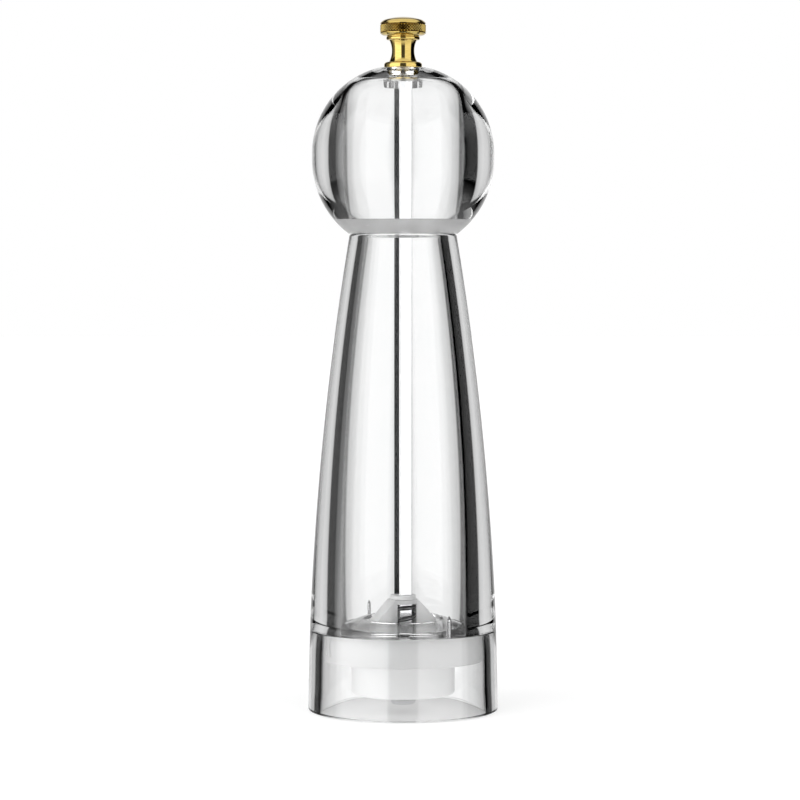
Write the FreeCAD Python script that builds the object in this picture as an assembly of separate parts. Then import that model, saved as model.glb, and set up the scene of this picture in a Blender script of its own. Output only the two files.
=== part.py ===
import FreeCAD, Part
import os
from math import atan2, cos, degrees, hypot, pi, radians, sin, sqrt, tan

os.makedirs("parts", exist_ok=True)

V = FreeCAD.Vector

# Clear pepper mill, millimetres. +Z is up along the shaft, z = 0 is the table.

# --- overall stack, bottom to top ---
ring_height = 26.3
body_height = 128.7
head_height = 53.5
knob_height = 16.5
body_base_z = ring_height
body_top_z = body_base_z + body_height
head_top_z = body_top_z + head_height
mill_top_z = head_top_z + knob_height

# --- turned outside of the body and the base ring ---
base_radius = 31.0
ring_taper = 0.58
seam_radius = base_radius - ring_taper
body_neck_radius = 17.5
body_bulge = 2.0
edge_break = 0.3
neck_round = 1.0

# --- bore of the body, wall of the ring ---
body_foot_wall = 9.9
body_neck_wall = 5.2
bore_foot_radius = seam_radius - body_foot_wall
bore_neck_radius = body_neck_radius - body_neck_wall
bore_bulge = 2.6
register_depth = 2.6
ring_wall = 3.9
ring_bore_top = seam_radius - ring_wall
ring_bore_foot = ring_bore_top + 0.4
ring_chamfer = 0.5

# --- fits between moving pieces ---
running_fit = 0.08
shaft_fit = 0.05
face_gap = 0.05

# --- ball head ---
ball_radius = 29.5
head_foot_radius = 17.57
head_land_radius = 8.5
belt_low_z = body_top_z + 23.7
belt_high_z = belt_low_z + 2.3
plug_height = 4.7
plug_lip = 0.9
spigot_depth = 1.6
head_roof = 3.8
cavity_wall = 4.37
cavity_bulge = 2.0
cavity_roof_round = 8.0

# --- square shaft, its bushes and its threads ---
shaft_width = 4.5
shaft_turn = 24.0
shaft_corner = shaft_width / sqrt(2)
shaft_clearance = 0.35
drive_bush_wall = 1.32
drive_bush_radius = shaft_corner + drive_bush_wall
drive_bush_height = 5.5
head_boss_wall = 2.0
head_boss_radius = drive_bush_radius + head_boss_wall
head_boss_draft = 0.25
head_boss_height = 4.9
thread_radius = 2.0
thread_pitch = 0.7
thread_depth = 0.36
knob_thread_length = 8.6
foot_thread_length = 3.9

# --- knob ---
knob_radius = 7.5
knob_flange_radius = 6.15
knob_waist_radius = 3.67
knob_bead_radius = 5.45
knurl_height = 3.0
knob_dome_height = 2.2
bead_drop = 2.3
knurl_depth = 0.32
knurl_count = 36
knurl_angle = 30.0
tap_depth = 9.9

# --- grinder housing ---
housing_gap = 0.6
flange_radius = ring_bore_top - housing_gap
flange_height = 9.9
flange_low_z = body_base_z - flange_height
stator_radius = 12.6
housing_neck_wall = 4.3
housing_neck_radius = stator_radius + housing_neck_wall
seat_depth = 4.3
seat_z = body_base_z - seat_depth
seat_ledge = 3.9
seat_radius = stator_radius + seat_ledge
stator_height = 11.0
stator_drop = 3.0
stator_foot_z = seat_z - stator_drop - stator_height
retaining_ring_height = 2.6
housing_foot_z = stator_foot_z - retaining_ring_height
stator_wall = 2.25
stator_lower_bore = stator_radius - stator_wall
stator_mouth = 3.4
tooth_count = 18
tooth_depth = 0.9
tooth_twist = 16.0
burr_gap = 0.45
rotor_overlap = 1.0
rotor_foot_z = stator_foot_z - rotor_overlap
rotor_height = 11.6
rotor_wall = 2.5

# --- rotor stack on the shaft ---
carrier_wall = 1.42
carrier_radius = shaft_corner + carrier_wall
carrier_flange = 3.4
carrier_flange_radius = carrier_radius + carrier_flange
stator_upper_bore = carrier_radius + rotor_wall
carrier_foot_z = rotor_foot_z - 1.6
carrier_height = 14.0
washer_thickness = 0.6
washer_overhang = 2.3
washer_radius = shaft_corner + washer_overhang
nut_across_flats = 7.0
nut_height = 2.8
shaft_foot_stub = 0.2
shaft_foot_z = carrier_foot_z - washer_thickness - nut_height - shaft_foot_stub
cup_height = 1.0
cup_rim = 0.65

# --- spring round the shaft ---
spring_wire = 1.0
spring_coils = 4.6
spring_gap = 0.17
spring_radius = shaft_corner + spring_gap + spring_wire / 2
cup_radius = spring_radius + spring_wire / 2 + cup_rim

# --- bridge over the spring ---
bridge_depth = 6.4
bridge_half_width = 10.4
bridge_shoulder_half = 4.0
bridge_leg_height = 7.2
bridge_foot_half = seat_radius - 1.0
bridge_foot_thickness = 2.4
bridge_well_gap = 0.25
bridge_well_radius = spring_radius + spring_wire / 2 + bridge_well_gap
bridge_height = 13.7
bridge_cap = 1.4
bush_wall = 0.57
bush_sleeve_radius = shaft_corner + bush_wall
bush_lip = 0.35
bush_flange_radius = bush_sleeve_radius + bush_lip
bush_flange_height = 1.3
bridge_cap_wall = 0.95
bridge_cap_radius = bush_sleeve_radius + bridge_cap_wall
bridge_screw_radius = 1.0
bridge_screw_inset = 2.35
bridge_screw_offset = seat_radius - bridge_screw_inset

# --- dish between bore and bridge ---
dish_rim_gap = 0.2
dish_rise = 3.2
dish_throat_gap = 2.1
dish_throat_radius = hypot(bridge_half_width, bridge_depth / 2) + dish_throat_gap
dish_thickness = 1.2

# --- screws that hold the grinder to the body ---
mount_screw_inset = 2.8
mount_screw_circle = bore_foot_radius + mount_screw_inset
mount_screw_angle = 305.0
mount_screw_radius = 1.1
mount_screw_reach = 6.7
screw_head_radius = 2.0
screw_head_height = 1.5
screw_head_clearance = 0.3
screw_head_recess = 1.7
mount_screw_seat_z = flange_low_z + screw_head_recess


def save(shape, node):
    shape.exportStep("parts/" + node + ".step")


def lathe(edges):
    """Solid turned about Z from a closed profile in the X-Z plane."""
    face = Part.Face(Part.Wire(edges))
    return face.revolve(V(0, 0, 0), V(0, 0, 1), 360)


def line(a, b):
    return Part.makeLine(V(a[0], 0, a[1]), V(b[0], 0, b[1]))


def arc(a, mid, b):
    return Part.Arc(V(a[0], 0, a[1]), V(mid[0], 0, mid[1]), V(b[0], 0, b[1])).toShape()


def path(*points):
    """Straight edges joining the points in turn."""
    return [line(a, b) for a, b in zip(points, points[1:])]


def ring(outer, inner, low, high):
    solid = Part.makeCylinder(outer, high - low, V(0, 0, low))
    if inner:
        solid = solid.cut(Part.makeCylinder(inner, high - low, V(0, 0, low)))
    return solid


def bowed(a, b, bulge):
    """Point half way from a to b, pushed outward by bulge."""
    return ((a[0] + b[0]) / 2 + bulge, (a[1] + b[1]) / 2)


def belly(foot, top):
    """Mid point of the arc from foot to top that stands upright at top."""
    rise = foot[1] - top[1]
    centre = (top[0] ** 2 - foot[0] ** 2 - rise ** 2) / (2 * (top[0] - foot[0]))
    reach = top[0] - centre
    half = atan2(rise, foot[0] - centre) / 2
    return (centre + reach * cos(half), top[1] + reach * sin(half))


def square_bar(width, low, high):
    bar = Part.makeBox(width, width, high - low, V(-width / 2, -width / 2, low))
    bar.rotate(V(0, 0, 0), V(0, 0, 1), shaft_turn)
    return bar


def turned(shape, angle):
    copy = shape.copy()
    copy.rotate(V(0, 0, 0), V(0, 0, 1), angle)
    return copy


def hex_bar(across_flats, low, high):
    reach = across_flats / sqrt(3)
    corners = [V(reach * cos(k * pi / 3), reach * sin(k * pi / 3), low) for k in range(7)]
    return Part.Face(Part.makePolygon(corners)).extrude(V(0, 0, high - low))


def outside_thread(radius, low, high):
    """Threaded rod: a core with a helical ridge swept round it."""
    core = radius - thread_depth
    start = low + thread_pitch
    turns_length = high - low - 2 * thread_pitch
    helix = Part.makeHelix(thread_pitch, turns_length, core - 0.02)
    helix.translate(V(0, 0, start))
    half = thread_pitch * 0.42
    profile = Part.makePolygon([
        V(core - 0.02, 0, start - half),
        V(radius, 0, start - 0.06),
        V(radius, 0, start + 0.06),
        V(core - 0.02, 0, start + half),
        V(core - 0.02, 0, start - half)])
    ridge = Part.Wire(helix.Edges).makePipeShell([profile], True, True)
    rod = Part.makeCylinder(core, high - low, V(0, 0, low))
    return rod.fuse(ridge)


def star(tip, root, z, twist):
    """Closed zig-zag with one tooth every full step round the circle."""
    points = []
    for k in range(tooth_count):
        for share, reach in ((0.0, tip), (0.5, root)):
            turn = 2 * pi * (k + share) / tooth_count + radians(twist)
            points.append(V(reach * cos(turn), reach * sin(turn), z))
    points.append(points[0])
    return Part.makePolygon(points)


# ---------------------------------------------------------------- knob

def make_knob():
    low = head_top_z + face_gap
    band_top = mill_top_z - knob_dome_height
    band_low = band_top - knurl_height
    waist_z = head_top_z + 5.0
    bead_low = band_low - bead_drop
    profile = path((0, low), (knob_flange_radius - 0.25, low),
                   (knob_flange_radius, low + 0.25), (knob_flange_radius, low + 1.05))
    profile.append(arc((knob_flange_radius, low + 1.05),
                       (knob_flange_radius - 0.3, low + 1.65),
                       (knob_flange_radius - 0.95, low + 1.9)))
    profile += path((knob_flange_radius - 0.95, low + 1.9), (4.6, low + 1.9))
    profile.append(arc((4.6, low + 1.9), (knob_waist_radius, waist_z), (4.45, bead_low)))
    profile += path((4.45, bead_low), (knob_bead_radius - 0.35, bead_low))
    profile.append(arc((knob_bead_radius - 0.35, bead_low), (knob_bead_radius, bead_low + 0.65),
                       (knob_bead_radius - 0.35, bead_low + 1.3)))
    profile += path((knob_bead_radius - 0.35, bead_low + 1.3), (5.3, bead_low + 1.5),
                    (knob_radius - 0.25, band_low - 0.15), (knob_radius, band_low + 0.1),
                    (knob_radius, band_top - 0.1), (knob_radius - 0.45, band_top + 0.35))
    dome_edge = knob_radius - 0.45
    dome_rise = mill_top_z - band_top - 0.35
    dome_radius = (dome_edge ** 2 + dome_rise ** 2) / (2 * dome_rise)
    dome_mid_z = mill_top_z - dome_radius + sqrt(dome_radius ** 2 - dome_edge ** 2 / 4)
    profile.append(arc((dome_edge, band_top + 0.35), (dome_edge / 2, dome_mid_z), (0, mill_top_z)))
    profile += path((0, mill_top_z), (0, low))
    knob = lathe(profile)
    middle = (band_low + band_top) / 2
    reach = knurl_height / 2 / cos(radians(knurl_angle)) + 0.5
    for slant in (knurl_angle, -knurl_angle):
        wedge = Part.Face(Part.makePolygon([
            V(knob_radius + 0.3, 0.62, -reach),
            V(knob_radius - knurl_depth, 0, -reach),
            V(knob_radius + 0.3, -0.62, -reach),
            V(knob_radius + 0.3, 0.62, -reach)])).extrude(V(0, 0, 2 * reach))
        wedge.rotate(V(0, 0, 0), V(1, 0, 0), slant)
        wedge.translate(V(0, 0, middle))
        knob = knob.cut([turned(wedge, 360 * k / knurl_count) for k in range(knurl_count)])
    tap_radius = thread_radius + shaft_fit
    tap = Part.makeCylinder(tap_radius, tap_depth, V(0, 0, low))
    tip = Part.makeCone(tap_radius, 0, 1.1, V(0, 0, low + tap_depth))
    lead = Part.makeCone(tap_radius + 0.45, tap_radius, 0.45, V(0, 0, low))
    return knob.cut([tap.fuse([tip, lead])])


# ---------------------------------------------------------------- head

plug_top_z = body_top_z + plug_height


def ball_radius_at(z):
    """Outside radius of the head's lower half at height z."""
    rise = body_top_z - belt_low_z
    centre = (ball_radius ** 2 - head_foot_radius ** 2 - rise ** 2) / (
        2 * (ball_radius - head_foot_radius))
    reach = ball_radius - centre
    return centre + sqrt(reach ** 2 - (z - belt_low_z) ** 2)


cavity_roof_z = head_top_z - head_roof
cavity_shoulder_z = cavity_roof_z - cavity_roof_round
cavity_mouth_radius = ball_radius_at(plug_top_z) - cavity_wall
cavity_shoulder_radius = cavity_mouth_radius + 0.2


def make_head_shell():
    foot = (ball_radius_at(plug_top_z), plug_top_z)
    belt_low = (ball_radius, belt_low_z)
    belt_high = (ball_radius, belt_high_z)
    land = (head_land_radius, head_top_z)
    mouth = (cavity_mouth_radius, plug_top_z)
    shoulder = (cavity_shoulder_radius, cavity_shoulder_z)
    roof_edge = (cavity_shoulder_radius - cavity_roof_round, cavity_roof_z)
    turn = cavity_roof_round * cos(pi / 4)
    corner = (roof_edge[0] + turn, shoulder[1] + turn)
    outside = [arc(foot, belly(foot, belt_low), belt_low), line(belt_low, belt_high),
               arc(belt_high, belly(land, belt_high), land)]
    inside = path(land, (drive_bush_radius, head_top_z), (drive_bush_radius, cavity_roof_z),
                  roof_edge)
    inside.append(arc(roof_edge, corner, shoulder))
    inside.append(arc(shoulder, bowed(shoulder, mouth, cavity_bulge), mouth))
    inside.append(line(mouth, foot))
    return lathe(outside + inside)


def make_head_plug():
    """Closing disc of the head: spigot below, locating lip above."""
    low = (head_foot_radius, body_top_z)
    high = (ball_radius_at(plug_top_z), plug_top_z)
    middle_z = (body_top_z + plug_top_z) / 2
    bore = shaft_corner + shaft_clearance
    spigot = bore_neck_radius - running_fit
    lip = cavity_mouth_radius - 0.05
    spigot_z = body_top_z - spigot_depth
    edges = path((bore, spigot_z), (spigot - 0.3, spigot_z), (spigot, spigot_z + 0.3),
                 (spigot, body_top_z + face_gap), (low[0], body_top_z + face_gap))
    start = (ball_radius_at(body_top_z + face_gap), body_top_z + face_gap)
    edges[-1] = line((spigot, body_top_z + face_gap), start)
    edges.append(arc(start, (ball_radius_at(middle_z), middle_z), high))
    edges += path(high, (lip, plug_top_z), (lip - 0.3, plug_top_z + plug_lip),
                  (bore, plug_top_z + plug_lip), (bore, spigot_z))
    return lathe(edges)


bush_low_z = head_top_z - drive_bush_height


def make_head_boss():
    """Clear boss bonded under the roof; it carries the drive bush."""
    low = cavity_roof_z - head_boss_height
    foot = head_boss_radius - head_boss_draft
    bore = shaft_corner + shaft_clearance
    return lathe(path((bore, low), (foot - 0.3, low), (foot, low + 0.3),
                      (head_boss_radius, cavity_roof_z), (drive_bush_radius, cavity_roof_z),
                      (drive_bush_radius, bush_low_z), (bore, bush_low_z), (bore, low)))


def make_drive_bush():
    bush = ring(drive_bush_radius, 0, bush_low_z, head_top_z)
    return bush.cut(square_bar(shaft_width + 2 * shaft_fit, bush_low_z, head_top_z))


# ---------------------------------------------------------------- body and ring

def mount_screw_at(angle):
    return V(mount_screw_circle * cos(radians(angle)), mount_screw_circle * sin(radians(angle)), 0)


mount_screw_tip_z = body_base_z + mount_screw_reach
mount_screw_places = [mount_screw_at(mount_screw_angle), mount_screw_at(mount_screw_angle + 180)]


def make_body_shell():
    foot = (seam_radius - edge_break, body_base_z)
    outer_foot = (seam_radius, body_base_z + edge_break)
    outer_top = (body_neck_radius, body_top_z - neck_round)
    top_out = (body_neck_radius - neck_round, body_top_z)
    register_z = body_top_z - register_depth
    bore_top = (bore_neck_radius, register_z)
    bore_low = (bore_foot_radius, body_base_z)
    turn = neck_round * (1 - cos(pi / 4))
    edges = [line(foot, outer_foot), arc(outer_foot, bowed(outer_foot, outer_top, body_bulge), outer_top)]
    edges.append(arc(outer_top, (body_neck_radius - turn, body_top_z - turn), top_out))
    edges += path(top_out, (bore_neck_radius + 0.25, body_top_z),
                  (bore_neck_radius, body_top_z - 0.25), bore_top)
    edges.append(arc(bore_top, bowed(bore_top, bore_low, bore_bulge), bore_low))
    edges.append(line(bore_low, foot))
    holes = []
    for place in mount_screw_places:
        hole = Part.makeCylinder(mount_screw_radius, mount_screw_reach, V(place.x, place.y, body_base_z))
        tip = Part.makeCone(mount_screw_radius, 0, mount_screw_radius,
                            V(place.x, place.y, mount_screw_tip_z))
        holes.append(hole.fuse(tip))
    return lathe(edges).cut(holes)


def make_base_ring():
    seam = seam_radius
    return lathe(path(
        (ring_bore_foot + ring_chamfer, 0), (base_radius - ring_chamfer, 0),
        (base_radius, ring_chamfer), (seam, body_base_z - edge_break),
        (seam - edge_break, body_base_z), (ring_bore_top, body_base_z),
        (ring_bore_foot, ring_chamfer), (ring_bore_foot + ring_chamfer, 0)))


# ---------------------------------------------------------------- grinder, fixed pieces


def make_housing():
    round_over = 0.8
    turn = round_over * (1 - cos(pi / 4))
    edges = path((stator_radius, housing_foot_z), (housing_neck_radius - 0.6, housing_foot_z),
                 (housing_neck_radius, housing_foot_z + 0.6), (housing_neck_radius, flange_low_z),
                 (flange_radius - round_over, flange_low_z))
    edges.append(arc((flange_radius - round_over, flange_low_z),
                     (flange_radius - turn, flange_low_z + turn),
                     (flange_radius, flange_low_z + round_over)))
    edges += path((flange_radius, flange_low_z + round_over), (flange_radius, body_base_z),
                  (seat_radius + 1.2, body_base_z), (seat_radius, body_base_z - 1.2),
                  (seat_radius, seat_z), (stator_radius, seat_z), (stator_radius, housing_foot_z))
    housing = lathe(edges)
    cuts = []
    for place in mount_screw_places:
        cuts.append(Part.makeCylinder(mount_screw_radius, flange_height, V(place.x, place.y, flange_low_z)))
        cuts.append(Part.makeCylinder(screw_head_radius + screw_head_clearance, screw_head_recess,
                                      V(place.x, place.y, flange_low_z)))
    for angle in (206.0, 211.5):
        slot = Part.makeCylinder(0.7, flange_height * 0.75,
                                 V(flange_radius, 0, body_base_z - flange_height * 0.75))
        cuts.append(turned(slot, angle))
    for side in (0, 180):
        pilot = Part.makeCylinder(bridge_screw_radius, 6.0, V(bridge_screw_offset, 0, seat_z - 6.0))
        cuts.append(turned(pilot, shaft_turn + side))
    return housing.cut(cuts)


def stator_bore_at(z):
    share = (z - stator_foot_z) / stator_height
    return stator_lower_bore + (stator_upper_bore - stator_lower_bore) * share


def make_stator():
    top = stator_foot_z + stator_height
    blank = ring(stator_radius, 0, stator_foot_z, top)
    low = stator_foot_z - 0.5
    high = top + 0.5
    bore = Part.makeLoft([
        star(stator_bore_at(low), stator_bore_at(low) + tooth_depth, low, 0),
        star(stator_bore_at(high), stator_bore_at(high) + tooth_depth, high, -tooth_twist)], True, True)
    mouth = Part.makeCone(stator_upper_bore, stator_radius - 0.8, stator_mouth, V(0, 0, top - stator_mouth))
    return blank.cut([bore, mouth])


def make_stator_ring():
    low = housing_foot_z
    edge = ring(stator_radius, stator_lower_bore + 0.5, low, stator_foot_z)
    keys = []
    for k in range(4):
        key = Part.makeBox(2.4, 2.0, 1.2, V(stator_radius - 2.2, -1.0, low))
        keys.append(turned(key, 45 + 90 * k))
    return edge.cut(keys)


def make_dish():
    """Shallow raised cone between the bore and the bridge."""
    rim = bore_foot_radius - dish_rim_gap
    low = body_base_z
    throat_z = low + dish_rise
    return lathe(path((rim, low), (rim, low + 0.7), (dish_throat_radius + 0.5, throat_z + 0.2),
                      (dish_throat_radius, throat_z), (dish_throat_radius, throat_z - dish_thickness),
                      (seat_radius + 1.6, low), (rim, low)))


bridge_top_z = seat_z + bridge_height
bridge_shoulder_z = seat_z + bridge_leg_height
bridge_cap_z = bridge_top_z - bridge_cap


def make_bridge():
    half = bridge_half_width
    foot_z = seat_z
    step_z = foot_z + bridge_foot_thickness
    outline = [(-bridge_foot_half, foot_z), (bridge_foot_half, foot_z), (bridge_foot_half, step_z),
               (half, step_z), (half, bridge_shoulder_z), (bridge_shoulder_half, bridge_top_z),
               (-bridge_shoulder_half, bridge_top_z), (-half, bridge_shoulder_z), (-half, step_z),
               (-bridge_foot_half, step_z), (-bridge_foot_half, foot_z)]
    plate = Part.Face(Part.makePolygon([V(x, -bridge_depth / 2, z) for x, z in outline]))
    plate = plate.extrude(V(0, bridge_depth, 0))
    trim = Part.makeCylinder(seat_radius - 0.1, 40, V(0, 0, foot_z - 1))
    plate = plate.common(trim)
    plate = plate.fuse(Part.makeCylinder(bridge_cap_radius, bridge_cap, V(0, 0, bridge_cap_z)))
    well = Part.makeCylinder(bridge_well_radius, bridge_cap_z - foot_z, V(0, 0, foot_z))
    hole = Part.makeCylinder(bush_sleeve_radius + shaft_fit, bridge_cap + 1, V(0, 0, bridge_cap_z - 0.5))
    screws = [Part.makeCylinder(bridge_screw_radius, 4, V(side * (bridge_screw_offset), 0, foot_z))
              for side in (-1, 1)]
    return turned(plate.cut([well, hole] + screws).removeSplitter(), shaft_turn)


def screw(radius, head_radius, head_height, seat, tip, up):
    """Cross-recess screw on the Z axis; up is +1 when its point looks upward."""
    length = abs(tip - seat) - radius
    low = min(seat, tip) if up > 0 else max(seat, tip)
    shank = Part.makeCylinder(radius, length, V(0, 0, low), V(0, 0, up))
    point = Part.makeCone(radius, 0.2, radius, V(0, 0, low + up * length), V(0, 0, up))
    head = Part.makeCylinder(head_radius, head_height, V(0, 0, seat), V(0, 0, -up))
    head = head.makeChamfer(head_height * 0.3, [e for e in head.Edges
                            if abs(e.BoundBox.ZMin - (seat - up * head_height)) < 1e-6
                            and abs(e.BoundBox.ZMax - e.BoundBox.ZMin) < 1e-6])
    slots = []
    for side in (0, 90):
        slot = Part.makeBox(head_radius * 1.1, 0.45, head_height * 0.55,
                            V(-head_radius * 0.55, -0.225, 0))
        slot.translate(V(0, 0, seat - up * head_height - (head_height * 0.55 if up < 0 else 0)))
        slots.append(turned(slot, side))
    return shank.fuse([point, head]).cut(slots)


def make_bridge_screws():
    seat = seat_z + bridge_foot_thickness
    one = screw(bridge_screw_radius, 1.75, 1.1, seat, seat_z - 5.0, -1)
    group = []
    for side in (0, 180):
        copy = one.copy()
        copy.translate(V(bridge_screw_offset, 0, 0))
        group.append(turned(copy, shaft_turn + side))
    return Part.makeCompound(group)


def make_mount_screws():
    one = screw(mount_screw_radius, screw_head_radius, screw_head_height,
                mount_screw_seat_z, mount_screw_tip_z, 1)
    group = []
    for place in mount_screw_places:
        copy = one.copy()
        copy.translate(place)
        group.append(copy)
    return Part.makeCompound(group)


# ---------------------------------------------------------------- grinder, turning pieces

def make_guide_bush():
    low = bridge_cap_z
    flange_low = bridge_top_z + face_gap
    top = flange_low + bush_flange_height
    bush = Part.makeCylinder(bush_sleeve_radius, top - low, V(0, 0, low))
    bush = bush.fuse(Part.makeCylinder(bush_flange_radius, top - flange_low, V(0, 0, flange_low)))
    return bush.cut(square_bar(shaft_width + 2 * shaft_fit, low, top)).removeSplitter()


def make_rotor():
    low = rotor_foot_z
    high = rotor_foot_z + rotor_height
    tip_low = stator_bore_at(low) - burr_gap
    tip_high = stator_bore_at(high) - burr_gap
    blank = Part.makeLoft([star(tip_low, tip_low - tooth_depth, low, 0),
                           star(tip_high, tip_high - tooth_depth, high, -tooth_twist)], True, True)
    return blank.cut(Part.makeCylinder(carrier_radius, rotor_height, V(0, 0, low)))


def make_carrier():
    low = carrier_foot_z
    high = low + carrier_height
    flange = Part.makeCylinder(carrier_flange_radius, rotor_foot_z - low, V(0, 0, low))
    sleeve = Part.makeCylinder(carrier_radius, high - low, V(0, 0, low))
    bar = square_bar(shaft_width + 2 * shaft_fit, low, high)
    return flange.fuse(sleeve).cut(bar).removeSplitter()


carrier_top_z = carrier_foot_z + carrier_height


def make_spring_cup():
    low = carrier_top_z
    cup = Part.makeCylinder(cup_radius, cup_height, V(0, 0, low))
    return cup.cut(square_bar(shaft_width + 2 * shaft_fit, low, low + cup_height))


def make_spring():
    """Compression spring with closed ends between the cup and the bridge."""
    low = carrier_top_z + cup_height + spring_wire / 2
    high = bridge_cap_z - spring_wire / 2 - face_gap
    closed = spring_wire * 1.02
    open_rise = high - low - 2 * closed
    points = []
    steps = 20
    total = spring_coils
    for k in range(int(total * steps) + 1):
        turns = k / steps
        if turns < 1:
            z = closed * turns
        elif turns > total - 1:
            z = high - low - closed * (total - turns)
        else:
            z = closed + open_rise * (turns - 1) / (total - 2)
        angle = 2 * pi * turns
        points.append(V(spring_radius * cos(angle), spring_radius * sin(angle), low + z))
    curve = Part.BSplineCurve()
    curve.interpolate(points)
    spine = Part.Wire([curve.toShape()])
    start = curve.tangent(curve.FirstParameter)[0]
    wire = Part.Wire([Part.makeCircle(spring_wire / 2, points[0], start)])
    return spine.makePipeShell([wire], True, True)


def make_shaft():
    square_low = shaft_foot_z + foot_thread_length
    square_high = head_top_z - 0.5
    bar = square_bar(shaft_width, square_low, square_high)
    top_rod = outside_thread(thread_radius, square_high - 0.3, square_high + knob_thread_length)
    foot_rod = outside_thread(thread_radius, shaft_foot_z, square_low + 0.3)
    return bar.fuse([top_rod, foot_rod])


def make_rotor_washer():
    low = carrier_foot_z - washer_thickness
    return ring(washer_radius, thread_radius + 0.1, low, carrier_foot_z)


def make_rotor_nut():
    high = carrier_foot_z - washer_thickness
    low = high - nut_height
    nut = hex_bar(nut_across_flats, low, high)
    reach = nut_across_flats / sqrt(3)
    crown = Part.makeCone(reach - 0.55, reach + 0.05, 0.5, V(0, 0, low)).fuse(
        Part.makeCylinder(reach + 0.05, nut_height - 0.5, V(0, 0, low + 0.5)))
    nut = nut.common(crown)
    return nut.cut(Part.makeCylinder(thread_radius + 0.02, nut_height, V(0, 0, low)))


nodes = {
    "knob": make_knob,
    "head_shell": make_head_shell,
    "head_plug": make_head_plug,
    "head_boss": make_head_boss,
    "drive_bush": make_drive_bush,
    "body_shell": make_body_shell,
    "base_ring": make_base_ring,
    "grinder_housing": make_housing,
    "stator_burr": make_stator,
    "stator_retaining_ring": make_stator_ring,
    "hopper_dish": make_dish,
    "bridge": make_bridge,
    "bridge_screws": make_bridge_screws,
    "mounting_screws": make_mount_screws,
    "guide_bush": make_guide_bush,
    "rotor_burr": make_rotor,
    "rotor_carrier": make_carrier,
    "spring_cup": make_spring_cup,
    "spring": make_spring,
    "shaft": make_shaft,
    "rotor_washer": make_rotor_washer,
    "rotor_nut": make_rotor_nut,
}

for node, build in nodes.items():
    save(build(), node)
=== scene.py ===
from math import atan2, cos, hypot, pi, radians, sin, sqrt

import bpy
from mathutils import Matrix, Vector


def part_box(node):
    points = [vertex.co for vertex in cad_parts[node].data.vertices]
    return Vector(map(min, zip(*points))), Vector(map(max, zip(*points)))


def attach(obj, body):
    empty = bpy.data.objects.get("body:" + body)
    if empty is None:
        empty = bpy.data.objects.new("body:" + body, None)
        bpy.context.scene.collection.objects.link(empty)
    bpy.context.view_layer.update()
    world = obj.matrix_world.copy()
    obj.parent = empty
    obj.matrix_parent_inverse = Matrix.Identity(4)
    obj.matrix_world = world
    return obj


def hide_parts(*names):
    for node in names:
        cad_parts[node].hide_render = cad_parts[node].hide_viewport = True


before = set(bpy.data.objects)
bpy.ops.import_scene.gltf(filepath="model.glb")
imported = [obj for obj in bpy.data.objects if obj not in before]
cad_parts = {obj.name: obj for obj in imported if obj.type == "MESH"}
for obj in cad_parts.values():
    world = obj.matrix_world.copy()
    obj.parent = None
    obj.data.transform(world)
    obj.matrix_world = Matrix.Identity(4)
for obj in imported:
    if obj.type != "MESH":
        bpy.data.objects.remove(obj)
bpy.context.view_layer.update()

MM = 0.001
TURN_STEPS = 192
SMOOTH_ANGLE = radians(28)
SHARP_ANGLE = radians(35)
MERGE_DISTANCE = 0.002 * MM

# All sizes below are in millimetres.
# Heights taken from the CAD nodes.
SEAM_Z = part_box("base_ring")[1][2] / MM
NECK_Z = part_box("body_shell")[1][2] / MM
HEAD_TOP_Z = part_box("head_shell")[1][2] / MM
PLUG_TOP_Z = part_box("head_shell")[0][2] / MM
MILL_TOP_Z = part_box("knob")[1][2] / MM

JOINT_GAP = 0.03
NECK_BORE_R = 12.3
BALL_R = 29.5
BALL_FOOT_R = 17.57
BELT_LOW_Z = 178.7
BELT_HIGH_Z = 181.0
ROOF_WALL = 3.8
CAVITY_R = 20.0
CAVITY_MOUTH_R = 18.2
CAVITY_BELT_Z = 178.0
ROOF_FULLNESS = 3.9
BUSH_SEAT_R = 4.52
BUSH_FOOT_Z = 203.0
SHAFT_HOLE_R = 3.53
KNOB_HEIGHT = 16.45
KNOB_DOME = 2.2
KNURL_HEIGHT = 3.0
KNURL_FLOOR_R = 7.12
KNURL_ROWS = 3
KNURL_COLUMNS = 46
SCREW_CIRCLE_R = 23.32
SCREW_BEARING = radians(305)


# ------------------------------------------------------------ modelling helpers

def clear_selection():
    bpy.ops.object.select_all(action="DESELECT")


def activate(piece):
    clear_selection()
    piece.select_set(True)
    bpy.context.view_layer.objects.active = piece


def start_edit(piece):
    activate(piece)
    bpy.ops.object.mode_set(mode="EDIT")


def end_edit():
    bpy.ops.object.mode_set(mode="OBJECT")


def arc(start, mid, end, count):
    """Points of the arc through three (r, z) points, without its first one."""
    (x1, y1), (x2, y2), (x3, y3) = start, mid, end
    d = 2 * (x1 * (y2 - y3) + x2 * (y3 - y1) + x3 * (y1 - y2))
    s1, s2, s3 = x1 * x1 + y1 * y1, x2 * x2 + y2 * y2, x3 * x3 + y3 * y3
    cx = (s1 * (y2 - y3) + s2 * (y3 - y1) + s3 * (y1 - y2)) / d
    cy = (s1 * (x3 - x2) + s2 * (x1 - x3) + s3 * (x2 - x1)) / d
    reach = hypot(x1 - cx, y1 - cy)
    a1 = atan2(y1 - cy, x1 - cx)
    sweep = {}
    for way in (1, -1):
        to_mid = (way * (atan2(y2 - cy, x2 - cx) - a1)) % (2 * pi)
        to_end = (way * (atan2(y3 - cy, x3 - cx) - a1)) % (2 * pi)
        sweep[way] = (to_mid < to_end, to_end)
    way = 1 if sweep[1][0] else -1
    total = sweep[way][1]
    return [(cx + reach * cos(a1 + way * total * k / count),
             cy + reach * sin(a1 + way * total * k / count)) for k in range(1, count + 1)]


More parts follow.
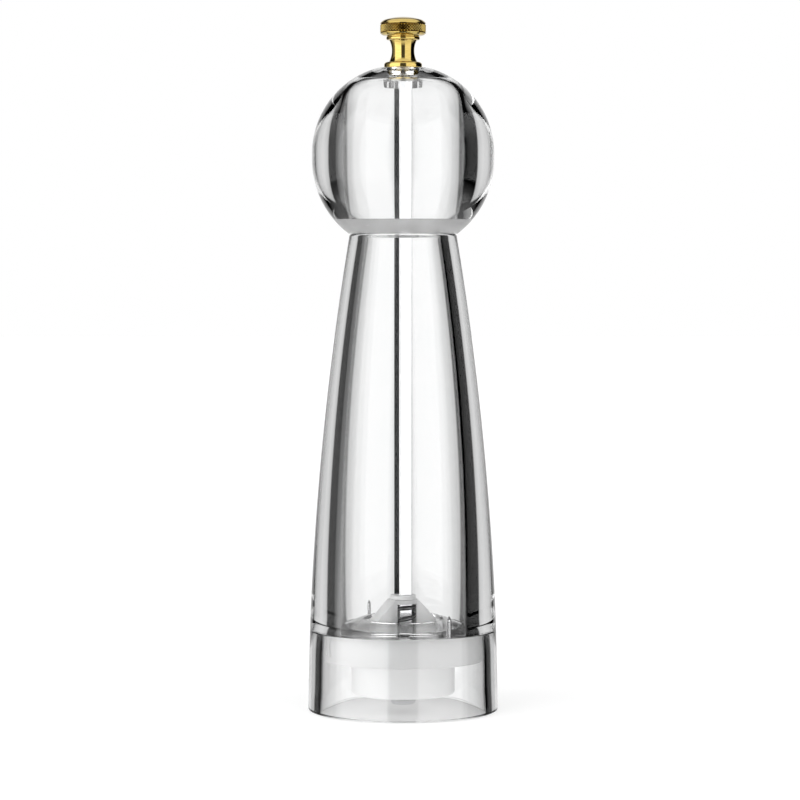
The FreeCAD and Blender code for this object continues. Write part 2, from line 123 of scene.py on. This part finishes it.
def run(start, end, count):
    """Evenly spaced points on a straight run, without its first one."""
    return [(start[0] + (end[0] - start[0]) * k / count,
             start[1] + (end[1] - start[1]) * k / count) for k in range(1, count + 1)]


def bowed(a, b, bulge):
    return ((a[0] + b[0]) / 2 + bulge, (a[1] + b[1]) / 2)


def belly(foot, top):
    """Mid point of the arc from foot to top that stands upright at top."""
    rise = foot[1] - top[1]
    centre = (top[0] ** 2 - foot[0] ** 2 - rise ** 2) / (2 * (top[0] - foot[0]))
    reach = top[0] - centre
    half = atan2(rise, foot[0] - centre) / 2
    return (centre + reach * cos(half), top[1] + reach * sin(half))


def turned_piece(name, profile, closed=True, steps=TURN_STEPS):
    """A lathe job: the profile, in millimetres, is drawn edge by edge and spun about Z."""
    clear_selection()
    bpy.ops.mesh.primitive_plane_add(size=MM, location=(0, 0, 0))
    piece = bpy.context.active_object
    piece.name = name
    piece.data.name = name
    bpy.ops.object.mode_set(mode="EDIT")
    bpy.ops.mesh.select_all(action="SELECT")
    bpy.ops.mesh.merge(type="CENTER")
    first = Vector((profile[0][0] * MM, 0, profile[0][1] * MM))
    bpy.ops.transform.translate(value=first)
    here = first
    for r, z in profile[1:]:
        there = Vector((r * MM, 0, z * MM))
        bpy.ops.mesh.extrude_region_move(TRANSFORM_OT_translate={"value": there - here})
        here = there
    if closed:
        bpy.ops.mesh.extrude_region_move(TRANSFORM_OT_translate={"value": first - here})
    bpy.ops.mesh.select_all(action="SELECT")
    bpy.ops.mesh.spin(steps=steps, angle=2 * pi, center=(0, 0, 0), axis=(0, 0, 1))
    bpy.ops.mesh.select_all(action="SELECT")
    bpy.ops.mesh.remove_doubles(threshold=MERGE_DISTANCE)
    bpy.ops.mesh.select_all(action="SELECT")
    bpy.ops.mesh.normals_make_consistent(inside=False)
    end_edit()
    soften(piece)
    return piece


def soften(piece):
    activate(piece)
    bpy.ops.object.shade_smooth_by_angle(angle=SMOOTH_ANGLE)


def joined(main, others):
    clear_selection()
    for piece in others:
        piece.select_set(True)
    main.select_set(True)
    bpy.context.view_layer.objects.active = main
    bpy.ops.object.join()
    return main


def rounded_copy(name, node, width, segments=2):
    """The CAD node's mesh with its flats joined up and its sharp edges broken, width in millimetres."""
    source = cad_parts[node]
    activate(source)
    bpy.ops.object.duplicate()
    piece = bpy.context.active_object
    piece.name = name
    piece.data.name = name
    start_edit(piece)
    bpy.ops.mesh.select_all(action="SELECT")
    bpy.ops.mesh.remove_doubles(threshold=MERGE_DISTANCE)
    bpy.ops.mesh.select_all(action="SELECT")
    bpy.ops.mesh.dissolve_limited(angle_limit=radians(0.5))
    end_edit()
    if width:
        edges = piece.modifiers.new("broken_edges", "BEVEL")
        edges.width = width * MM
        edges.segments = segments
        edges.limit_method = "ANGLE"
        edges.angle_limit = SHARP_ANGLE
        bpy.ops.object.modifier_apply(modifier=edges.name)
    soften(piece)
    return piece


def finish_piece(piece, material, slot, body, *nodes):
    piece.data.materials.clear()
    piece.data.materials.append(material)
    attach(piece, body)
    if nodes:
        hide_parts(*nodes)
    return piece


# ------------------------------------------------------------ materials

def new_material(name):
    material = bpy.data.materials.new(name)
    material.use_nodes = True
    tree = material.node_tree
    return material, tree, tree.nodes["Principled BSDF"]


def object_noise(tree, scale, detail=3.0, stretch=(1, 1, 1)):
    """Noise on the piece's own coordinates; scale counts cells per metre."""
    coords = tree.nodes.new("ShaderNodeTexCoord")
    mapping = tree.nodes.new("ShaderNodeMapping")
    mapping.inputs["Scale"].default_value = stretch
    noise = tree.nodes.new("ShaderNodeTexNoise")
    noise.inputs["Scale"].default_value = scale
    noise.inputs["Detail"].default_value = detail
    tree.links.new(coords.outputs["Object"], mapping.inputs["Vector"])
    tree.links.new(mapping.outputs["Vector"], noise.inputs["Vector"])
    return noise


def between(tree, source, low, high, start=0.0, end=1.0):
    """The source's span from start to end, spread from low to high."""
    spread = tree.nodes.new("ShaderNodeMapRange")
    spread.inputs["From Min"].default_value = start
    spread.inputs["From Max"].default_value = end
    spread.inputs["To Min"].default_value = low
    spread.inputs["To Max"].default_value = high
    tree.links.new(source, spread.inputs["Value"])
    return spread.outputs["Result"]


def worked_out(tree, operation, first, second):
    """A sum on two sockets, or on a socket and a number."""
    step = tree.nodes.new("ShaderNodeMath")
    step.operation = operation
    tree.links.new(first, step.inputs[0])
    if isinstance(second, float):
        step.inputs[1].default_value = second
    else:
        tree.links.new(second, step.inputs[1])
    return step.outputs[0]


def distance_of(tree, source):
    length = tree.nodes.new("ShaderNodeVectorMath")
    length.operation = "LENGTH"
    tree.links.new(source, length.inputs[0])
    return length.outputs["Value"]


def mixed(tree, factor, source, colour):
    """The source's colour, going over to a fixed one as the factor rises."""
    mix = tree.nodes.new("ShaderNodeMix")
    mix.data_type = "RGBA"
    mix.inputs["B"].default_value = (*colour, 1)
    tree.links.new(factor, mix.inputs["Factor"])
    tree.links.new(source, mix.inputs["A"])
    return mix.outputs["Result"]


def tinted(tree, source, dark, light):
    ramp = tree.nodes.new("ShaderNodeValToRGB")
    ramp.color_ramp.elements[0].position = 0.3
    ramp.color_ramp.elements[0].color = (*dark, 1)
    ramp.color_ramp.elements[1].position = 0.7
    ramp.color_ramp.elements[1].color = (*light, 1)
    tree.links.new(source, ramp.inputs["Fac"])
    return ramp.outputs["Color"]


def bumped(tree, shader, source, strength, distance):
    bump = tree.nodes.new("ShaderNodeBump")
    bump.inputs["Strength"].default_value = strength
    bump.inputs["Distance"].default_value = distance
    tree.links.new(source, bump.inputs["Height"])
    tree.links.new(bump.outputs["Normal"], shader.inputs["Normal"])


def clear_acrylic(name="polished_clear_acrylic", haze_top=0.006, dark=(0.985, 0.99, 0.99)):
    material, tree, shader = new_material(name)
    shader.inputs["Transmission Weight"].default_value = 1.0
    shader.inputs["IOR"].default_value = 1.49
    haze = object_noise(tree, 90, 2.0)
    tree.links.new(between(tree, haze.outputs["Fac"], 0.0, haze_top), shader.inputs["Roughness"])
    tree.links.new(tinted(tree, haze.outputs["Fac"], dark, (1.0, 1.0, 1.0)),
                   shader.inputs["Base Color"])
    return material


def satin_acrylic():
    material, tree, shader = new_material("satin_turned_acrylic")
    shader.inputs["Transmission Weight"].default_value = 0.82
    shader.inputs["IOR"].default_value = 1.49
    grain = object_noise(tree, 900, 2.0, (1, 1, 6))
    tree.links.new(between(tree, grain.outputs["Fac"], 0.2, 0.3), shader.inputs["Roughness"])
    tree.links.new(tinted(tree, grain.outputs["Fac"], (0.93, 0.93, 0.93), (0.97, 0.97, 0.97)),
                   shader.inputs["Base Color"])
    return material


def polished_brass():
    """Bright brass, with painted shade that darkens the knurl's grooves."""
    material, tree, shader = new_material("polished_brass")
    shader.inputs["Metallic"].default_value = 1.0
    marks = object_noise(tree, 700, 4.0, (1, 1, 9))
    tree.links.new(between(tree, marks.outputs["Fac"], 0.05, 0.10), shader.inputs["Roughness"])
    bright = tinted(tree, marks.outputs["Fac"], (0.52, 0.38, 0.10), (0.64, 0.48, 0.17))
    coords = tree.nodes.new("ShaderNodeTexCoord")
    flat = tree.nodes.new("ShaderNodeVectorMath")
    flat.operation = "MULTIPLY"
    flat.inputs[1].default_value = (1, 1, 0)
    tree.links.new(coords.outputs["Object"], flat.inputs[0])
    from_axis = distance_of(tree, flat.outputs["Vector"])
    # painted shade: the base colour goes near black in the knurl's grooves, close to the band's floor
    # radius and within the band's height
    painted_groove_shade = between(tree, from_axis, 1.0, 0.0, (KNURL_FLOOR_R + 0.02) * MM, (KNURL_FLOOR_R + 0.15) * MM)
    split = tree.nodes.new("ShaderNodeSeparateXYZ")
    tree.links.new(coords.outputs["Object"], split.inputs["Vector"])
    band_high = MILL_TOP_Z - KNOB_DOME - 0.1
    band_low = MILL_TOP_Z - KNOB_DOME - KNURL_HEIGHT + 0.1
    for operation, z in (("GREATER_THAN", band_low * MM), ("LESS_THAN", band_high * MM)):
        painted_groove_shade = worked_out(tree, "MULTIPLY", painted_groove_shade, worked_out(tree, operation, split.outputs["Z"], z))
    tree.links.new(mixed(tree, painted_groove_shade, bright, (0.07, 0.04, 0.008)), shader.inputs["Base Color"])
    bumped(tree, shader, marks.outputs["Fac"], 0.04, 0.02 * MM)
    return material


def drawn_steel():
    material, tree, shader = new_material("drawn_bright_steel")
    shader.inputs["Metallic"].default_value = 1.0
    lines = object_noise(tree, 1600, 3.0, (1, 1, 0.03))
    tree.links.new(between(tree, lines.outputs["Fac"], 0.08, 0.16), shader.inputs["Roughness"])
    tree.links.new(tinted(tree, lines.outputs["Fac"], (0.80, 0.80, 0.81), (0.88, 0.88, 0.89)),
                   shader.inputs["Base Color"])
    bumped(tree, shader, lines.outputs["Fac"], 0.03, 0.01 * MM)
    return material


def spring_wire():
    material, tree, shader = new_material("oiled_spring_wire")
    shader.inputs["Metallic"].default_value = 1.0
    lines = object_noise(tree, 1500, 3.0)
    tree.links.new(between(tree, lines.outputs["Fac"], 0.25, 0.4), shader.inputs["Roughness"])
    tree.links.new(tinted(tree, lines.outputs["Fac"], (0.10, 0.10, 0.10), (0.20, 0.20, 0.20)),
                   shader.inputs["Base Color"])
    return material


def turned_grey_metal():
    material, tree, shader = new_material("turned_grey_metal")
    shader.inputs["Metallic"].default_value = 0.8
    rings = object_noise(tree, 1400, 2.0, (0.2, 0.2, 5))
    tree.links.new(between(tree, rings.outputs["Fac"], 0.25, 0.4), shader.inputs["Roughness"])
    tree.links.new(tinted(tree, rings.outputs["Fac"], (0.52, 0.51, 0.48), (0.64, 0.63, 0.60)),
                   shader.inputs["Base Color"])
    return material


def moulded_white():
    material, tree, shader = new_material("moulded_white_plastic")
    grain = object_noise(tree, 1200, 4.0)
    tone = object_noise(tree, 70, 2.0)
    tree.links.new(between(tree, grain.outputs["Fac"], 0.34, 0.46), shader.inputs["Roughness"])
    tree.links.new(tinted(tree, tone.outputs["Fac"], (0.93, 0.93, 0.93), (0.96, 0.96, 0.96)),
                   shader.inputs["Base Color"])
    bumped(tree, shader, grain.outputs["Fac"], 0.1, 0.02 * MM)
    return material


def milky_plastic():
    material, tree, shader = new_material("milky_moulded_plastic")
    shader.inputs["Transmission Weight"].default_value = 0.18
    shader.inputs["IOR"].default_value = 1.3
    grain = object_noise(tree, 800, 3.0)
    tree.links.new(between(tree, grain.outputs["Fac"], 0.3, 0.42), shader.inputs["Roughness"])
    tree.links.new(tinted(tree, grain.outputs["Fac"], (0.95, 0.95, 0.95), (0.98, 0.98, 0.98)),
                   shader.inputs["Base Color"])
    return material


def sintered_ceramic():
    material, tree, shader = new_material("sintered_white_ceramic")
    grain = object_noise(tree, 2200, 5.0)
    tree.links.new(between(tree, grain.outputs["Fac"], 0.5, 0.7), shader.inputs["Roughness"])
    tree.links.new(tinted(tree, grain.outputs["Fac"], (0.82, 0.81, 0.78), (0.89, 0.88, 0.85)),
                   shader.inputs["Base Color"])
    bumped(tree, shader, grain.outputs["Fac"], 0.3, 0.05 * MM)
    return material


ACRYLIC = clear_acrylic()
MOULDED_ACRYLIC = clear_acrylic("moulded_clear_acrylic", 0.05, (0.93, 0.94, 0.94))
SATIN = satin_acrylic()
BRASS = polished_brass()
STEEL = drawn_steel()
GREY = turned_grey_metal()
WHITE = moulded_white()
MILKY = milky_plastic()
DISH_PLASTIC = clear_acrylic("natural_moulded_plastic", 0.16, (0.95, 0.95, 0.95))
CERAMIC = sintered_ceramic()

# finishes of the CAD nodes that stay in sight as they are
CAD_FINISHES = {
    "drive_bush": GREY, "stator_burr": CERAMIC, "stator_retaining_ring": WHITE,
    "bridge_screws": STEEL, "rotor_burr": CERAMIC, "rotor_carrier": WHITE,
    "spring_cup": STEEL, "spring": spring_wire(), "rotor_washer": STEEL, "rotor_nut": STEEL,
}
for node, material in CAD_FINISHES.items():
    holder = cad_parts[node]
    holder.data.materials.clear()
    holder.data.materials.append(material)


# ------------------------------------------------------------ clear body, ring and head

def make_body():
    seam = SEAM_Z
    neck = NECK_Z
    foot = (30.12, seam + JOINT_GAP)
    outer_foot = (30.42, seam + 0.3)
    outer_top = (17.5, neck - 1.0)
    profile = [foot] + arc(foot, (30.33, seam + JOINT_GAP + 0.09), outer_foot, 5)
    profile += arc(outer_foot, bowed(outer_foot, outer_top, 2.0), outer_top, 60)
    profile += arc(outer_top, (17.207, neck - 0.293), (16.5, neck), 6)
    bore_top = (NECK_BORE_R, neck - 2.6)
    profile += [(NECK_BORE_R + 0.25, neck), (NECK_BORE_R, neck - 0.25), bore_top]
    bore_low = (20.52, seam + JOINT_GAP)
    profile += arc(bore_top, bowed(bore_top, bore_low, 2.6), bore_low, 60)
    return finish_piece(turned_piece("clear_body", profile), ACRYLIC, "clear_acrylic", "base", "body_shell")


def make_ring():
    seam = SEAM_Z - JOINT_GAP
    profile = [(27.42, 0), (30.5, 0)]
    profile += arc((30.5, 0), (30.854, 0.146), (31.0, 0.5), 8)
    profile += run((31.0, 0.5), (30.42, seam - 0.3), 4)
    profile += arc((30.42, seam - 0.3), (30.33, seam - 0.09), (30.12, seam), 5)
    profile += [(26.52, seam)]
    profile += run((26.52, seam), (26.92, 0.5), 4)
    profile += arc((26.92, 0.5), (27.066, 0.146), (27.42, 0), 8)[:-1]
    return finish_piece(turned_piece("clear_base_ring", profile), ACRYLIC, "clear_acrylic", "base",
                        "base_ring")


def ball_outline(z):
    """Outside radius of the lower half of the head, in millimetres."""
    rise = NECK_Z - BELT_LOW_Z
    centre = (BALL_R ** 2 - BALL_FOOT_R ** 2 - rise ** 2) / (2 * (BALL_R - BALL_FOOT_R))
    reach = BALL_R - centre
    return centre + sqrt(reach ** 2 - (z - BELT_LOW_Z) ** 2)


def make_head():
    mouth_z = PLUG_TOP_Z + JOINT_GAP
    top = HEAD_TOP_Z
    foot = (ball_outline(mouth_z), mouth_z)
    belt_low = (BALL_R, BELT_LOW_Z)
    belt_high = (BALL_R, BELT_HIGH_Z)
    land = (8.5, top)
    profile = [foot]
    profile += arc(foot, belly(foot, belt_low), belt_low, 36)
    profile += run(belt_low, belt_high, 2)
    profile += arc(belt_high, belly(land, belt_high), land, 48)
    roof = top - ROOF_WALL
    profile += [(BUSH_SEAT_R, top), (BUSH_SEAT_R, roof)]
    dome = roof - CAVITY_BELT_Z
    dome_points = 60
    for k in range(1, dome_points + 1):
        lean = pi / 2 * (1 - k / dome_points)
        rise = sin(lean) ** (2 / ROOF_FULLNESS)
        reach = CAVITY_R * max(cos(lean), 0.0) ** (2 / ROOF_FULLNESS)
        if reach > BUSH_SEAT_R + 0.18:
            profile.append((reach, CAVITY_BELT_Z + dome * rise))
    wall_points = 30
    for k in range(1, wall_points + 1):
        share = k / wall_points
        profile.append((CAVITY_MOUTH_R + (CAVITY_R - CAVITY_MOUTH_R) * cos(share * pi / 2),
                        CAVITY_BELT_Z + (mouth_z - CAVITY_BELT_Z) * share))
    return finish_piece(turned_piece("clear_ball_head", profile), ACRYLIC, "clear_acrylic", "head",
                        "head_shell")


def make_plug():
    low = NECK_Z + 0.05
    high = PLUG_TOP_Z - JOINT_GAP
    spigot_low = 153.4
    spigot = NECK_BORE_R - 0.08
    profile = [(SHAFT_HOLE_R, spigot_low), (spigot - 0.3, spigot_low), (spigot, spigot_low + 0.3),
               (spigot, low)]
    start = (ball_outline(low), low)
    end = (ball_outline(high), high)
    middle = (low + high) / 2
    profile.append(start)
    profile += arc(start, (ball_outline(middle), middle), end, 10)
    lip = high + 0.93
    profile += [(CAVITY_MOUTH_R - 0.08, high), (17.85, lip), (SHAFT_HOLE_R, lip)]
    return finish_piece(turned_piece("satin_head_plug", profile), SATIN, "frosted_acrylic", "head",
                        "head_plug")


def make_boss():
    roof = HEAD_TOP_Z - ROOF_WALL - JOINT_GAP
    low = roof - 6.0
    profile = [(SHAFT_HOLE_R, low + 0.2), (SHAFT_HOLE_R + 0.2, low), (5.8, low)]
    profile += arc((5.8, low), (6.1, low + 0.12), (6.22, low + 0.42), 5)
    profile += run((6.22, low + 0.42), (6.5, roof), 3)
    profile += [(BUSH_SEAT_R, roof), (BUSH_SEAT_R, BUSH_FOOT_Z), (SHAFT_HOLE_R, BUSH_FOOT_Z)]
    return finish_piece(turned_piece("clear_head_boss", profile), MOULDED_ACRYLIC, "clear_acrylic", "head",
                        "head_boss")


def make_knurl_diamond(width, height, depth):
    """One pyramid of the knurled band, on the band's floor at the +X side."""
    clear_selection()
    bpy.ops.mesh.primitive_plane_add(size=MM, location=(0, 0, 0), rotation=(0, pi / 2, 0))
    diamond = bpy.context.active_object
    bpy.ops.object.transform_apply(location=True, rotation=True, scale=True)
    bpy.ops.object.mode_set(mode="EDIT")
    bpy.ops.mesh.select_all(action="SELECT")
    bpy.ops.transform.rotate(value=pi / 4, orient_axis="X", center_override=(0, 0, 0))
    bpy.ops.transform.resize(value=(1, width / sqrt(2), height / sqrt(2)), center_override=(0, 0, 0))
    bpy.ops.mesh.poke(offset=0)
    end_edit()
    tip = min(diamond.data.vertices, key=lambda v: v.co.length)
    tip.co.x = depth * MM
    return diamond


def make_knurl(low, height, depth):
    """Staggered rows of diamonds round the knob, all from one."""
    width = 2 * pi * KNURL_FLOOR_R / KNURL_COLUMNS
    first = make_knurl_diamond(width, height, depth)
    copies = []
    for row in range(2 * KNURL_ROWS - 1):
        for column in range(KNURL_COLUMNS):
            copy = first.copy()
            copy.data = first.data.copy()
            bpy.context.collection.objects.link(copy)
            turn = 2 * pi * (column + 0.5 * (row % 2)) / KNURL_COLUMNS
            reach = (KNURL_FLOOR_R - 0.02) * MM
            copy.rotation_euler = (0, 0, turn)
            middle = (low + height * (row + 1) / 2) * MM
            copy.location = (reach * cos(turn), reach * sin(turn), middle)
            copies.append(copy)
    bpy.data.objects.remove(first)
    return copies


def make_knob():
    low = MILL_TOP_Z - KNOB_HEIGHT
    band_top = MILL_TOP_Z - KNOB_DOME
    band_low = band_top - KNURL_HEIGHT
    bead = band_low - 2.3
    profile = [(0, low), (5.9, low), (6.15, low + 0.25)]
    profile += run((6.15, low + 0.25), (6.15, low + 1.05), 2)
    profile += arc((6.15, low + 1.05), (5.9, low + 1.6), (5.25, low + 1.9), 8)
    profile += run((5.25, low + 1.9), (4.6, low + 1.95), 2)
    profile += arc((4.6, low + 1.95), (3.67, low + 4.95), (4.45, bead), 28)
    profile += [(5.0, bead), (5.25, bead + 0.1)]
    profile += arc((5.25, bead + 0.1), (5.45, bead + 0.65), (5.2, bead + 1.2), 8)
    profile += [(5.2, bead + 1.35), (5.32, bead + 1.5)]
    profile += arc((5.32, bead + 1.5), (6.5, band_low - 0.75), (7.3, band_low - 0.2), 8)
    profile += [(7.46, band_low - 0.06), (7.46, band_low + 0.1)]
    floor_low = (KNURL_FLOOR_R, band_low + 0.22)
    profile += [floor_low] + run(floor_low, (KNURL_FLOOR_R, band_top - 0.12), 4)
    profile += [(7.44, band_top), (7.4, band_top + 0.16)]
    shoulder = (5.6, band_top + 1.42)
    profile += arc((7.4, band_top + 0.16), (6.75, band_top + 0.86), shoulder, 10)
    profile += arc(shoulder, (2.85, MILL_TOP_Z - 0.2), (0, MILL_TOP_Z), 16)
    knob = turned_piece("brass_knob", profile, closed=False)
    diamonds = make_knurl(band_low + 0.12, height=0.92, depth=0.36)
    joined(knob, diamonds)
    soften(knob)
    return finish_piece(knob, BRASS, "brass", "knob", "knob")


def make_mounting_screws():
    """Two slim bright screws up through the flange into the body."""
    seat = SEAM_Z - 8.2
    tip = SEAM_Z + 6.7
    profile = [(0, seat - 1.5), (1.6, seat - 1.5), (1.95, seat - 1.1), (2.0, seat), (0.85, seat)]
    pitch = 0.55
    turns = int((tip - 1.4 - seat - 2) / pitch)
    for k in range(turns):
        z = seat + 2 + k * pitch
        profile += [(0.72, z), (0.88, z + 0.2), (0.88, z + 0.3), (0.72, z + 0.5)]
    profile += [(0.72, tip - 1.3), (0, tip - 0.1)]
    first = turned_piece("slim_mounting_screws", profile, closed=False, steps=48)
    activate(first)
    bpy.ops.object.duplicate()
    second = bpy.context.active_object
    for screw, side in ((first, 1), (second, -1)):
        start_edit(screw)
        bpy.ops.mesh.select_all(action="SELECT")
        reach = side * SCREW_CIRCLE_R * MM
        bpy.ops.transform.translate(value=(reach * cos(SCREW_BEARING), reach * sin(SCREW_BEARING), 0))
        end_edit()
    joined(first, [second])
    return finish_piece(first, STEEL, "bright_steel", "base", "mounting_screws")


def make_dish():
    rim = 20.3
    low = SEAM_Z + JOINT_GAP
    throat = low + 3.2
    profile = [(rim, low), (rim, low + 0.5), (rim - 0.2, low + 0.75)]
    profile += arc((rim - 0.2, low + 0.75), (17.2, throat - 0.95), (13.6, throat + 0.15), 12)
    profile += arc((13.6, throat + 0.15), (13.15, throat + 0.1), (12.98, throat - 0.2), 4)
    profile += [(12.98, throat - 1.1)]
    profile += arc((12.98, throat - 1.1), (15.4, throat - 2.0), (18.1, low), 10)
    return finish_piece(turned_piece("milky_hopper_dish", profile), DISH_PLASTIC, "milky_plastic", "base",
                        "hopper_dish")


def make_shaft():
    """Drawn square bar; its four long arrises are rounded as drawing leaves them."""
    bar = rounded_copy("square_steel_shaft", "shaft", 0)
    start_edit(bar)
    bpy.ops.mesh.select_all(action="DESELECT")
    bpy.ops.mesh.select_mode(type="EDGE")
    end_edit()
    for edge in bar.data.edges:
        a, b = (bar.data.vertices[k].co for k in edge.vertices)
        edge.select = abs(a.z - b.z) > 0.1
    start_edit(bar)
    bpy.ops.mesh.bevel(offset=0.24 * MM, segments=3)
    bpy.ops.mesh.select_mode(type="VERT")
    end_edit()
    soften(bar)
    return finish_piece(bar, STEEL, "bright_steel", "drive", "shaft")


make_body()
make_ring()
make_head()
make_plug()
make_boss()
make_knob()
make_mounting_screws()
make_dish()
make_shaft()
finish_piece(rounded_copy("milky_bridge", "bridge", 0.35, 3), MILKY, "milky_plastic", "base", "bridge")
finish_piece(rounded_copy("white_grinder_housing", "grinder_housing", 0.2), WHITE, "white_plastic",
             "base", "grinder_housing")
finish_piece(rounded_copy("white_guide_bush", "guide_bush", 0.15), WHITE, "white_plastic", "guide",
             "guide_bush")


# ------------------------------------------------------------ studio

def ramp_of(tree, source, stops):
    ramp = tree.nodes.new("ShaderNodeValToRGB")
    elements = ramp.color_ramp.elements
    while len(elements) > 1:
        elements.remove(elements[-1])
    for k, (place, level) in enumerate(stops):
        spot = elements[0] if k == 0 else elements.new(place)
        spot.position = place
        spot.color = (level, level, level, 1)
    tree.links.new(source, ramp.inputs["Fac"])
    return ramp.outputs["Color"]


def studio_light(tree, split):
    """Brightness by compass direction, 0 behind the mill and 180 at the viewer, paler above and below."""
    turn = worked_out(tree, "ARCTAN2", split.outputs["X"], split.outputs["Y"])
    share = between(tree, turn, 0.0, 1.0, -pi, pi)
    round_stops = [(-180, 0.1), (-163, 0.1), (-159, 2.25), (-94, 2.25), (-88, 0.5), (-64, 0.22),
                   (-52, 0.08), (-50, 0.0), (-31, 0.0), (-27, 0.55), (-12, 0.83), (12, 0.85),
                   (27, 0.58), (31, 0.0), (93, 0.0), (97, 1.55), (159, 1.55), (163, 0.1), (180, 0.1)]
    level = ramp_of(tree, share, [(0.5 + a / 360, v) for a, v in round_stops])
    height = between(tree, split.outputs["Z"], 0.0, 1.0, -1.0, 1.0)

    def by_height(stops):
        return ramp_of(tree, height, [(0.5 + sin(radians(a)) / 2, v) for a, v in stops])

    # the sweep behind the mill ends above it, and the dark gap there ends at the overhead light
    behind = between(tree, split.outputs["Y"], 0.0, 1.0, -0.1, 0.1)
    above = by_height([(-90, 0.0), (25, 0.0), (28, 1.0), (90, 1.0)])
    gap = worked_out(tree, "MULTIPLY", behind, above)
    dimmed = mixed(tree, gap, level, (0.02, 0.02, 0.02))
    pale = by_height([(-90, 0.8), (-35, 0.8), (-18, 0.0), (40, 0.0), (50, 0.95), (90, 0.95)])
    return mixed(tree, pale, dimmed, (1.2, 1.2, 1.2))


def make_world():
    world = bpy.data.worlds.new("studio")
    bpy.context.scene.world = world
    world.use_nodes = True
    tree = world.node_tree
    coords = tree.nodes.new("ShaderNodeTexCoord")
    split = tree.nodes.new("ShaderNodeSeparateXYZ")
    tree.links.new(coords.outputs["Generated"], split.inputs["Vector"])
    light = studio_light(tree, split)
    path = tree.nodes.new("ShaderNodeLightPath")
    seen = mixed(tree, path.outputs["Is Camera Ray"], light, (1, 1, 1))
    background = tree.nodes["Background"]
    tree.links.new(seen, background.inputs["Color"])
    background.inputs["Strength"].default_value = 1.0


def glowing(tree, shader, level):
    """The shader with an even glow added to it."""
    glow = tree.nodes.new("ShaderNodeEmission")
    glow.inputs["Color"].default_value = (level, level, level, 1)
    both = tree.nodes.new("ShaderNodeAddShader")
    tree.links.new(shader.outputs[0], both.inputs[0])
    tree.links.new(glow.outputs[0], both.inputs[1])
    return both.outputs[0]


def mixed_shaders(tree, factor, first, second):
    mix = tree.nodes.new("ShaderNodeMixShader")
    tree.links.new(factor, mix.inputs["Fac"])
    tree.links.new(first, mix.inputs[1])
    tree.links.new(second, mix.inputs[2])
    return mix.outputs[0]


def make_floor():
    """Pale sweep; metal and clear acrylic see it only close under the mill, and the studio beyond."""
    clear_selection()
    bpy.ops.mesh.primitive_circle_add(vertices=96, radius=4.0, fill_type="NGON", location=(0, 0, -0.0002))
    floor = bpy.context.active_object
    floor.name = "studio_floor"
    material, tree, shader = new_material("pale_studio_floor")
    shader.inputs["Roughness"].default_value = 0.9
    shader.inputs["Specular IOR Level"].default_value = 0.0
    shader.inputs["Base Color"].default_value = (0.55, 0.55, 0.55, 1)
    pale = glowing(tree, shader, 0.56)
    under_mill = glowing(tree, shader, 0.34)
    coords = tree.nodes.new("ShaderNodeTexCoord")
    from_mill = distance_of(tree, coords.outputs["Object"])
    far = worked_out(tree, "GREATER_THAN", from_mill, 31.0 * MM)
    clear = tree.nodes.new("ShaderNodeBsdfTransparent")
    mirrored = mixed_shaders(tree, far, under_mill, clear.outputs[0])
    path = tree.nodes.new("ShaderNodeLightPath")
    either = worked_out(tree, "MAXIMUM", path.outputs["Is Transmission Ray"], path.outputs["Is Glossy Ray"])
    surface = mixed_shaders(tree, either, pale, mirrored)
    tree.links.new(surface, tree.nodes["Material Output"].inputs["Surface"])
    floor.data.materials.append(material)


def make_camera():
    data = bpy.data.cameras.new("studio_camera")
    data.sensor_width = 36
    data.lens = 138.5
    data.clip_end = 20
    camera = bpy.data.objects.new("studio_camera", data)
    bpy.context.collection.objects.link(camera)
    aim = Vector((-0.001, 0, 0.101))
    camera.location = (-0.001, -1.0, 0.152)
    camera.rotation_euler = (aim - camera.location).to_track_quat("-Z", "Y").to_euler()
    bpy.context.scene.camera = camera


make_world()
make_floor()
make_camera()
bpy.context.scene.view_settings.view_transform = "Standard"
